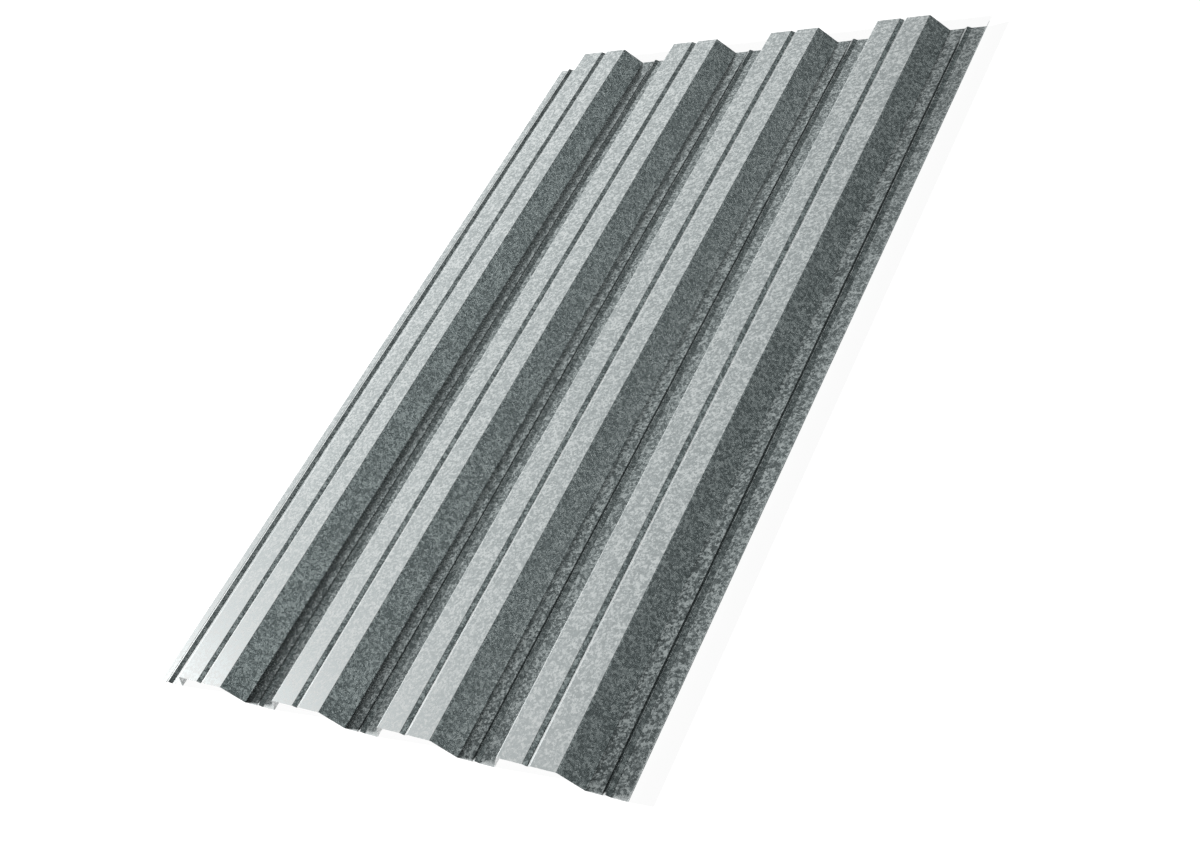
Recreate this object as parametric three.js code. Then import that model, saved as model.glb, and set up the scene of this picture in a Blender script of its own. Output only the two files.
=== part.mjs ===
// A profiled roofing and cladding sheet, rolled from one strip of galvanised steel and lying flat, crests up.
// Millimetres. X runs across the sheet, Y along it and Z up. The origin is at the middle of its box, on the floor.
import * as THREE from 'three';

// The strip
const sheetLength = 1700;
const steelThickness = 0.7;
const bendRadius = 2.5; // on the inside of a bend

// The crests, which stand up between troughs
const crestCount = 4;
const crestPitch = 250;
const crestWidth = 115; // flat top, corner to corner
const crestHeight = 41;
const webRun = 29; // how far each sloping side reaches sideways

// The V groove pressed down along the middle of each crest
const grooveWidth = 15;
const grooveDepth = 4.5;

// The V bead pressed up along the middle of each trough
const beadWidth = 15;
const beadHeight = 4.5;

// The two long edges, which lap with the next sheets
const edgeMargin = 17; // flat left outside the first bead
const lipLength = 15; // turned up at the slope of a crest's side

const galvanisedSteel = new THREE.MeshStandardMaterial({
  color: 0xb8bdbe,
  roughness: 0.45,
  metalness: 0.85,
});

const bendSteps = 2; // ExtrudeGeometry gives each arc twice this many facets
const ribWidth = crestWidth + 2 * webRun;
const troughWidth = crestPitch - ribWidth;
const webAngle = Math.atan2(crestHeight, webRun);
const middleRadius = bendRadius + steelThickness / 2;

// The section is drawn first along the middle of the steel, as the corners where its straight stretches meet.
// It starts from x = 0 at the foot of the first crest and y = 0 on the troughs.

// Three corners of a V pressed into a flat: up where rise is positive, down where it is negative
function vCorners(centreX, flatY, width, rise) {
  return [
    new THREE.Vector2(centreX - width / 2, flatY),
    new THREE.Vector2(centreX, flatY + rise),
    new THREE.Vector2(centreX + width / 2, flatY),
  ];
}

function crestCorners(footX) {
  const left = footX + webRun;
  const right = left + crestWidth;
  return [
    new THREE.Vector2(footX, 0),
    new THREE.Vector2(left, crestHeight),
    ...vCorners((left + right) / 2, crestHeight, grooveWidth, -grooveDepth),
    new THREE.Vector2(right, crestHeight),
    new THREE.Vector2(right + webRun, 0),
  ];
}

function beadCorners(troughX) {
  return vCorners(troughX + troughWidth / 2, 0, beadWidth, beadHeight);
}

function sectionCorners() {
  const edgeBead = beadCorners(-troughWidth);
  const corners = [new THREE.Vector2(edgeBead[0].x - edgeMargin, 0), ...edgeBead];
  for (let i = 0; i < crestCount; i++) {
    const footX = i * crestPitch;
    corners.push(...crestCorners(footX), ...beadCorners(footX + ribWidth));
  }
  const lipFoot = new THREE.Vector2(crestCount * crestPitch, 0);
  const lipTip = new THREE.Vector2(Math.cos(webAngle), Math.sin(webAngle)).multiplyScalar(lipLength);
  corners.push(lipFoot, lipTip.add(lipFoot));
  return corners;
}

function heading(from, to) {
  return Math.atan2(to.y - from.y, to.x - from.x);
}

// The round bend that takes the place of a corner. side is 1 where the steel turns up and -1 where it turns down.
function bendAt(before, corner, after) {
  const headingIn = heading(before, corner);
  const headingOut = heading(corner, after);
  const side = Math.sign(headingOut - headingIn);
  const setBack = middleRadius * Math.tan(Math.abs(headingOut - headingIn) / 2);
  const toCentre = headingIn + (side * Math.PI) / 2;
  return {
    x: corner.x - setBack * Math.cos(headingIn) + middleRadius * Math.cos(toCentre),
    y: corner.y - setBack * Math.sin(headingIn) + middleRadius * Math.sin(toCentre),
    side,
    startAngle: toCentre + Math.PI,
    endAngle: headingOut + (side * Math.PI) / 2 + Math.PI,
  };
}

// A point beside the middle of the steel, to the left of the way it heads
function pointBeside(point, angle, offset) {
  return new THREE.Vector2(-Math.sin(angle), Math.cos(angle)).multiplyScalar(offset).add(point);
}

// The closed outline: along the upper face from left to right, and back along the lower face
function sheetSection() {
  const corners = sectionCorners();
  const last = corners.length - 1;
  const bends = [];
  for (let i = 1; i < last; i++) {
    bends.push(bendAt(corners[i - 1], corners[i], corners[i + 1]));
  }
  const startHeading = heading(corners[0], corners[1]);
  const endHeading = heading(corners[last - 1], corners[last]);
  const half = steelThickness / 2;

  const section = new THREE.Shape();
  const firstPoint = pointBeside(corners[0], startHeading, half);
  section.moveTo(firstPoint.x, firstPoint.y);
  for (const bend of bends) {
    const radius = middleRadius - bend.side * half;
    section.absarc(bend.x, bend.y, radius, bend.startAngle, bend.endAngle, bend.side < 0);
  }
  for (const offset of [half, -half]) {
    const tip = pointBeside(corners[last], endHeading, offset);
    section.lineTo(tip.x, tip.y);
  }
  for (const bend of bends.reverse()) {
    const radius = middleRadius + bend.side * half;
    section.absarc(bend.x, bend.y, radius, bend.endAngle, bend.startAngle, bend.side > 0);
  }
  const lastPoint = pointBeside(corners[0], startHeading, -half);
  section.lineTo(lastPoint.x, lastPoint.y);
  section.closePath();
  return section;
}

// The section stands up and runs along Y, centred on the origin and resting at z = 0
function sheetGeometry() {
  const geometry = new THREE.ExtrudeGeometry(sheetSection(), {
    depth: sheetLength,
    curveSegments: bendSteps,
    bevelEnabled: false,
  });
  geometry.rotateX(Math.PI / 2);
  geometry.computeBoundingBox();
  const box = geometry.boundingBox;
  const middle = box.getCenter(new THREE.Vector3());
  geometry.translate(-middle.x, -middle.y, -box.min.z);
  return geometry;
}

const sheet = new THREE.Mesh(sheetGeometry(), galvanisedSteel);
sheet.name = 'profiled_sheet';

const part = new THREE.Group();
part.add(sheet);

export default part;
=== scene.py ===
import math

import bmesh
import bpy
from mathutils import Matrix, Vector


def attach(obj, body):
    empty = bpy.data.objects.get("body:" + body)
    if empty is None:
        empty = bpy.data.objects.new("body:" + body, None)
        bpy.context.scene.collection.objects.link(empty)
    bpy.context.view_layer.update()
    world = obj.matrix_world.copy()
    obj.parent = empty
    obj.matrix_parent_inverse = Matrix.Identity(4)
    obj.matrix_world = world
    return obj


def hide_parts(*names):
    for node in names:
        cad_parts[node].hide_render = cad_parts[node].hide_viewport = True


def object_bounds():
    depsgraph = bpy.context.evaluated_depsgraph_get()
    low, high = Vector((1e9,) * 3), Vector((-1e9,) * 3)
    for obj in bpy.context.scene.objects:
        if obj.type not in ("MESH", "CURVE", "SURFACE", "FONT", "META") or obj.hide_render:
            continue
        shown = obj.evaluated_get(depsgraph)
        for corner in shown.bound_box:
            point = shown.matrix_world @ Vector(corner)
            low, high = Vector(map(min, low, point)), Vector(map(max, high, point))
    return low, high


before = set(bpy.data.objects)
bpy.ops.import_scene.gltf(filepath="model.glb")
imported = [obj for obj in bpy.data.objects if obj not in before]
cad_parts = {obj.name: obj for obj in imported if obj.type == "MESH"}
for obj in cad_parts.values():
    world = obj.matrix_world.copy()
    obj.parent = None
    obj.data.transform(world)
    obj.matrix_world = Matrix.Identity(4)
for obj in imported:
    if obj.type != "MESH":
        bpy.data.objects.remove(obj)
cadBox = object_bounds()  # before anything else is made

scene = bpy.context.scene
print("frame loaded")

# The camera looks down along the ribs, which run away to the upper right
viewpoint = {
    "location": (1.74938, -1.47694, 1.71170),
    "lookAt": (0.12412, -0.18335, 0.0),
    "roll": -34.481,  # degrees about the line of sight
    "lens": 45.275,
    "sensor": 36.0,
}


def makeCamera(spec):
    data = bpy.data.cameras.new("camera")
    data.lens = spec["lens"]
    data.sensor_width = spec["sensor"]
    data.sensor_fit = "HORIZONTAL"
    data.clip_end = 100
    camera = bpy.data.objects.new("camera", data)
    scene.collection.objects.link(camera)
    sight = Vector(spec["lookAt"]) - Vector(spec["location"])
    aim = sight.to_track_quat("-Z", "Y").to_matrix().to_4x4()
    turn = Matrix.Rotation(math.radians(spec["roll"]), 4, "Z")
    camera.matrix_world = Matrix.Translation(spec["location"]) @ aim @ turn
    scene.camera = camera


makeCamera(viewpoint)
print("camera placed")

# The strip as it is rolled, in metres along the middle of the steel
sheetShape = {
    "length": 1.700,
    "thickness": 0.0007,
    "bendRadius": 0.0025,  # on the inside of a bend
    "bendSegments": 6,
    "crests": 4,
    "pitch": 0.250,
    "crestWidth": 0.115,
    "crestHeight": 0.041,
    "webRun": 0.029,
    "veeWidth": 0.015,  # the groove in a crest, the bead in a trough
    "veeRise": 0.0045,
    "edgeMargin": 0.017,
    "lipLength": 0.015,
}


# x and z of the fold lines from the left edge to the lip, with x = 0 at the foot of the first crest
def foldLines(s):
    def vee(middle, base, rise):
        half = s["veeWidth"] / 2
        return [(middle - half, base), (middle, base + rise), (middle + half, base)]

    top = s["crestHeight"]
    rib = s["crestWidth"] + 2 * s["webRun"]
    trough = s["pitch"] - rib
    firstBead = vee(-trough / 2, 0, s["veeRise"])
    lines = [(firstBead[0][0] - s["edgeMargin"], 0), *firstBead]
    for crest in range(s["crests"]):
        foot = crest * s["pitch"]
        lines += [(foot, 0), (foot + s["webRun"], top)]
        lines += vee(foot + rib / 2, top, -s["veeRise"])
        lines += [(foot + rib - s["webRun"], top), (foot + rib, 0)]
        lines += vee(foot + rib + trough / 2, 0, s["veeRise"])
    foot = s["crests"] * s["pitch"]
    slope = math.atan2(top, s["webRun"])
    lines += [(foot, 0), (foot + s["lipLength"] * math.cos(slope), s["lipLength"] * math.sin(slope))]
    return lines


# A flat strip is folded along its lines and the folds are rolled round. A modifier gives it its wall
def makeSheet(s):
    lines = foldLines(s)
    count = len(lines) - 1
    lift = s["thickness"] / 2
    left = cadBox[0].x - lines[0][0]
    lines = [(x + left, z + lift) for x, z in lines]
    bm = bmesh.new()
    strip = bmesh.ops.create_grid(bm, x_segments=count, y_segments=1, size=0.5)["verts"]
    for v in strip:
        x, z = lines[round((v.co.x + 0.5) * count)]
        v.co = (x, v.co.y * s["length"], z)
    bm.normal_update()
    middleRadius = s["bendRadius"] + lift
    for x, z in lines[1:-1]:
        fold = next(e for e in bm.edges if all(abs(v.co.x - x) + abs(v.co.z - z) < 1e-6 for v in e.verts))
        setBack = middleRadius * math.tan(fold.calc_face_angle() / 2)
        bmesh.ops.bevel(bm, geom=[fold], offset=setBack, offset_type="OFFSET", segments=s["bendSegments"],
                        profile=0.5, affect="EDGES", material=-1)
    bmesh.ops.recalc_face_normals(bm, faces=bm.faces)
    for face in bm.faces:
        face.smooth = True
    for edge in bm.edges:
        edge.smooth = not edge.is_boundary
    mesh = bpy.data.meshes.new("ribbedSheet")
    bm.to_mesh(mesh)
    bm.free()
    return mesh


# A node with its settings; an input that is a socket is linked, and any other is written in
def addNode(tree, kind, settings=None, inputs=None):
    node = tree.nodes.new(kind)
    for key, value in (settings or {}).items():
        setattr(node, key, value)
    for key, value in (inputs or {}).items():
        if isinstance(value, bpy.types.NodeSocket):
            tree.links.new(value, node.inputs[key])
        else:
            node.inputs[key].default_value = value
    return node


def mathNode(tree, operation, a, b=0.0, c=0.0):
    return addNode(tree, "ShaderNodeMath", {"operation": operation}, {0: a, 1: b, 2: c}).outputs[0]


def vectorNode(tree, operation, inputs):
    return addNode(tree, "ShaderNodeVectorMath", {"operation": operation}, inputs).outputs[0]


def mapRange(tree, value, low, high, toLow=0.0, toHigh=1.0, smooth=True):
    kind = "SMOOTHSTEP" if smooth else "LINEAR"
    inputs = {"Value": value, "From Min": low, "From Max": high, "To Min": toLow, "To Max": toHigh}
    return addNode(tree, "ShaderNodeMapRange", {"interpolation_type": kind}, inputs).outputs["Result"]


def noise(tree, where, size, detail=2.0, roughness=0.5):
    inputs = {"Vector": where, "Scale": 1 / size, "Detail": detail, "Roughness": roughness}
    return addNode(tree, "ShaderNodeTexNoise", None, inputs)


def mixColours(tree, factor, a, b):
    node = addNode(tree, "ShaderNodeMix", {"data_type": "RGBA"})
    for name, value in (("Factor_Float", factor), ("A_Color", a), ("B_Color", b)):
        socket = next(i for i in node.inputs if i.identifier == name)
        if isinstance(value, bpy.types.NodeSocket):
            tree.links.new(value, socket)
        else:
            socket.default_value = value
    return next(o for o in node.outputs if o.identifier == "Result_Color")


# Hot-dip zinc. Large crystals, small flecks and a fine grain add up to one tone, which loose patches raise
# and lower. Where it is high the metal is bare and glossy, and where it is low a dull film covers it
zincLook = {
    "crystal": 0.0056,  # metres, as are the other sizes
    "crystalShare": 0.30,
    "fleck": 0.0034,
    "fleckShare": 0.45,
    "grain": 0.0020,
    "grainShare": 0.25,
    "grainSpan": (0.3, 0.7),
    "warpSize": 0.004,  # how the edges of the crystals wander
    "warp": 0.0004,
    "patch": 0.038,
    "patchiness": 0.20,
    "middleSpan": (0.26, 0.54),  # tones over which dull turns to middle, and middle to bright
    "brightSpan": (0.44, 0.77),
    "roughSpan": (0.25, 0.75),
    "dull": (0.222, 0.246, 0.248, 1),
    "middle": (0.328, 0.357, 0.360, 1),
    "bright": (0.64, 0.66, 0.657, 1),
    "metalDull": 0.65,
    "metalMiddle": 0.76,
    "metalBright": 0.87,
    "dullRoughness": 0.30,
    "brightRoughness": 0.19,
}

# Painted shade: a dark colour stands in for the shaded line along a bead's left foot, and a weaker one for
# the shade on its right side.
# Being colour, they stay in any light. Both fade in and out at these distances from the crown, in metres
paintedBeadShadeLook = {
    "colour": (0.03, 0.033, 0.033, 1),
    "footLine": {"start": (-0.0098, -0.0080), "end": (-0.0070, -0.0036), "depth": 0.93},
    "shadedSide": {"start": (-0.001, 0.002), "end": (0.006, 0.0085), "depth": 0.42},
}


def zincTone(tree, place, look):
    wander = noise(tree, place, look["warpSize"], 1.0).outputs["Color"]
    wander = vectorNode(tree, "SUBTRACT", {0: wander, 1: (0.5, 0.5, 0.5)})
    shift = vectorNode(tree, "SCALE", {0: wander, "Scale": look["warp"]})
    bent = vectorNode(tree, "ADD", {0: place, 1: shift})

    def cells(size):
        node = addNode(tree, "ShaderNodeTexVoronoi", {"feature": "F1"}, {"Vector": bent, "Scale": 1 / size})
        return addNode(tree, "ShaderNodeSeparateColor", None, {"Color": node.outputs["Color"]}).outputs[0]

    grain = noise(tree, place, look["grain"], 1.0).outputs["Fac"]
    grain = mapRange(tree, grain, *look["grainSpan"], smooth=False)
    patches = mathNode(tree, "SUBTRACT", noise(tree, place, look["patch"], 2.0).outputs["Fac"], 0.5)
    tone = mathNode(tree, "MULTIPLY", cells(look["crystal"]), look["crystalShare"])
    tone = mathNode(tree, "MULTIPLY_ADD", cells(look["fleck"]), look["fleckShare"], tone)
    tone = mathNode(tree, "MULTIPLY_ADD", grain, look["grainShare"], tone)
    return mathNode(tree, "MULTIPLY_ADD", patches, look["patchiness"], tone)


# How strong the painted shade is at each point, from its place across the nearest bead
def paintedBeadShade(tree, place, paintedShade, s):
    x = addNode(tree, "ShaderNodeSeparateXYZ", None, {0: place}).outputs["X"]
    firstCrown = cadBox[0].x + s["edgeMargin"] + s["veeWidth"] / 2
    fromFirst = mathNode(tree, "SUBTRACT", x, firstCrown)
    across = mathNode(tree, "WRAP", fromFirst, s["pitch"] / 2, -s["pitch"] / 2)

    def band(spec):
        start = mapRange(tree, across, *spec["start"])
        return mathNode(tree, "MULTIPLY", start, mapRange(tree, across, *spec["end"], spec["depth"], 0))

    return mathNode(tree, "ADD", band(paintedShade["footLine"]), band(paintedShade["shadedSide"]))


def galvanisedSteel(look, paintedShade, s):
    material = bpy.data.materials.new("galvanisedSteel")
    material.use_nodes = True
    tree = material.node_tree
    shader = tree.nodes["Principled BSDF"]
    place = addNode(tree, "ShaderNodeTexCoord").outputs["Object"]
    tone = zincTone(tree, place, look)
    bright = mapRange(tree, tone, *look["brightSpan"])
    middle = mapRange(tree, tone, *look["middleSpan"])
    colour = mixColours(tree, middle, look["dull"], look["middle"])
    colour = mixColours(tree, bright, colour, look["bright"])
    # Painted shade darkens the zinc colour along each bead's left foot and right side
    colour = mixColours(tree, paintedBeadShade(tree, place, paintedShade, s), colour, paintedShade["colour"])
    tree.links.new(colour, shader.inputs["Base Color"])
    metal = mapRange(tree, middle, 0, 1, look["metalDull"], look["metalMiddle"], smooth=False)
    metal = mathNode(tree, "MULTIPLY_ADD", bright, look["metalBright"] - look["metalMiddle"], metal)
    tree.links.new(metal, shader.inputs["Metallic"])
    rough = mapRange(tree, tone, *look["roughSpan"], look["dullRoughness"], look["brightRoughness"])
    tree.links.new(rough, shader.inputs["Roughness"])
    return material


sheet = bpy.data.objects.new("ribbedSheet", makeSheet(sheetShape))
scene.collection.objects.link(sheet)
wall = sheet.modifiers.new("wall", "SOLIDIFY")
wall.thickness = sheetShape["thickness"]
wall.offset = 0
wall.use_even_offset = True
flats = sheet.modifiers.new("flats", "WEIGHTED_NORMAL")  # the flats stay flat up to their bends
flats.keep_sharp = True
sheet.data.materials.append(galvanisedSteel(zincLook, paintedBeadShadeLook, sheetShape))
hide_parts("profiled_sheet")
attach(sheet, "root")
print("sheet folded", len(sheet.data.polygons), "faces")

# A white floor, with white walls at the left and behind, and a dimmer wall at the right. Heights are sines
# of the angle above the floor. Right and back say how far a level direction points to +X and to +Y
studio = {
    "floorSize": 40.0,
    "floorDrop": 0.0005,
    "floorColour": (0.10, 0.10, 0.10, 1),
    "floorGlow": 0.96,
    "white": (0.96, 1.0, 1.0, 1),
    "front": (0.23, 0.23, 0.23, 1),
    "backSpan": (0.14, 0.50),  # back, where the front wall gives way
    "backHigh": (0.14, 0.14, 0.14, 1),
    "rightSpan": (0.05, 0.30),
    "rightLow": (0.27, 0.30, 0.30, 1),
    "rightHigh": (0.38, 0.43, 0.43, 1),
    "wallSpan": (0.34, 0.46),  # heights where the low part of a wall turns into the high part
    "leftSpan": (-0.08, -0.28),
    "leftLean": 0.5,  # the left wall's edge moves to the left as it rises
    "leftHigh": (0.62, 0.665, 0.665, 1),
    "leftWallSpan": (0.40, 0.62),
    "ceiling": (0.46, 0.51, 0.51, 1),
    "ceilingSpan": (0.76, 0.87),
    "ceilingTurn": (-0.1, 0.1),  # right, where the dark half of the ceiling turns pale
    "dark": (0.01, 0.01, 0.01, 1),
    "unseen": (0.01, 0.01, 0.01, 1),
}

keyLamp = {
    "azimuth": 192,  # degrees from +X towards +Y
    "elevation": 22,
    "distance": 6.2,
    "size": (0.54, 0.24),
    "power": 3050,
    "colour": (1.0, 0.965, 0.96),
}


# 1 for rays that look at the surroundings, straight or in a reflection, and 0 for those that carry light
def whenSeen(tree):
    rays = addNode(tree, "ShaderNodeLightPath").outputs
    seen = mathNode(tree, "MAXIMUM", rays["Is Camera Ray"], rays["Is Glossy Ray"])
    return mathNode(tree, "MAXIMUM", seen, rays["Is Transmission Ray"])


def makeFloor(s):
    bm = bmesh.new()
    bmesh.ops.create_grid(bm, x_segments=1, y_segments=1, size=s["floorSize"] / 2)
    bmesh.ops.translate(bm, verts=bm.verts, vec=(0, 0, -s["floorDrop"]))
    mesh = bpy.data.meshes.new("floor")
    bm.to_mesh(mesh)
    bm.free()
    floor = bpy.data.objects.new("floor", mesh)
    scene.collection.objects.link(floor)
    material = bpy.data.materials.new("whiteFloor")
    material.use_nodes = True
    tree = material.node_tree
    tree.nodes.remove(tree.nodes["Principled BSDF"])
    strength = mathNode(tree, "MULTIPLY", whenSeen(tree), s["floorGlow"])
    glow = addNode(tree, "ShaderNodeEmission", None, {"Strength": strength}).outputs[0]
    matt = addNode(tree, "ShaderNodeBsdfDiffuse", None, {"Color": s["floorColour"]}).outputs[0]
    both = addNode(tree, "ShaderNodeAddShader", None, {0: glow, 1: matt}).outputs[0]
    tree.links.new(both, tree.nodes["Material Output"].inputs["Surface"])
    mesh.materials.append(material)


def makeWorld(s):
    world = bpy.data.worlds.new("studio")
    world.use_nodes = True
    tree = world.node_tree
    toward = addNode(tree, "ShaderNodeTexCoord").outputs["Generated"]
    height = addNode(tree, "ShaderNodeSeparateXYZ", None, {0: toward}).outputs["Z"]
    level = vectorNode(tree, "NORMALIZE", {0: vectorNode(tree, "MULTIPLY", {0: toward, 1: (1, 1, 0)})})
    right, back = addNode(tree, "ShaderNodeSeparateXYZ", None, {0: level}).outputs[:2]
    behind = mapRange(tree, back, *s["backSpan"])
    leaning = mathNode(tree, "MULTIPLY_ADD", height, s["leftLean"], right)
    left = mathNode(tree, "MULTIPLY", mapRange(tree, leaning, *s["leftSpan"]), behind)
    high = mapRange(tree, height, *s["wallSpan"])
    backWall = mixColours(tree, high, s["white"], s["backHigh"])
    rightWall = mixColours(tree, high, s["rightLow"], s["rightHigh"])
    leftWall = mixColours(tree, mapRange(tree, height, *s["leftWallSpan"]), s["white"], s["leftHigh"])
    ceiling = mixColours(tree, mapRange(tree, right, *s["ceilingTurn"]), s["dark"], s["ceiling"])
    shade = mixColours(tree, behind, s["front"], backWall)
    shade = mixColours(tree, mapRange(tree, right, *s["rightSpan"]), shade, rightWall)
    shade = mixColours(tree, left, shade, leftWall)
    shade = mixColours(tree, mapRange(tree, height, *s["ceilingSpan"]), shade, ceiling)
    shade = mixColours(tree, whenSeen(tree), s["unseen"], shade)
    tree.links.new(shade, tree.nodes["Background"].inputs["Color"])
    scene.world = world


def makeLamp(name, spec):
    data = bpy.data.lights.new(name, "AREA")
    data.shape = "RECTANGLE"
    data.size, data.size_y = spec["size"]
    data.energy = spec["power"]
    data.color = spec["colour"]
    lamp = bpy.data.objects.new(name, data)
    scene.collection.objects.link(lamp)
    around, up = math.radians(spec["azimuth"]), math.radians(spec["elevation"])
    aim = Vector((math.cos(around) * math.cos(up), math.sin(around) * math.cos(up), math.sin(up)))
    turn = aim.to_track_quat("Z", "Y").to_matrix().to_4x4()
    lamp.matrix_world = Matrix.Translation(aim * spec["distance"]) @ turn


makeFloor(studio)
makeWorld(studio)
makeLamp("keyLamp", keyLamp)
print("floor and light ready")

scene.view_settings.view_transform = "Standard"
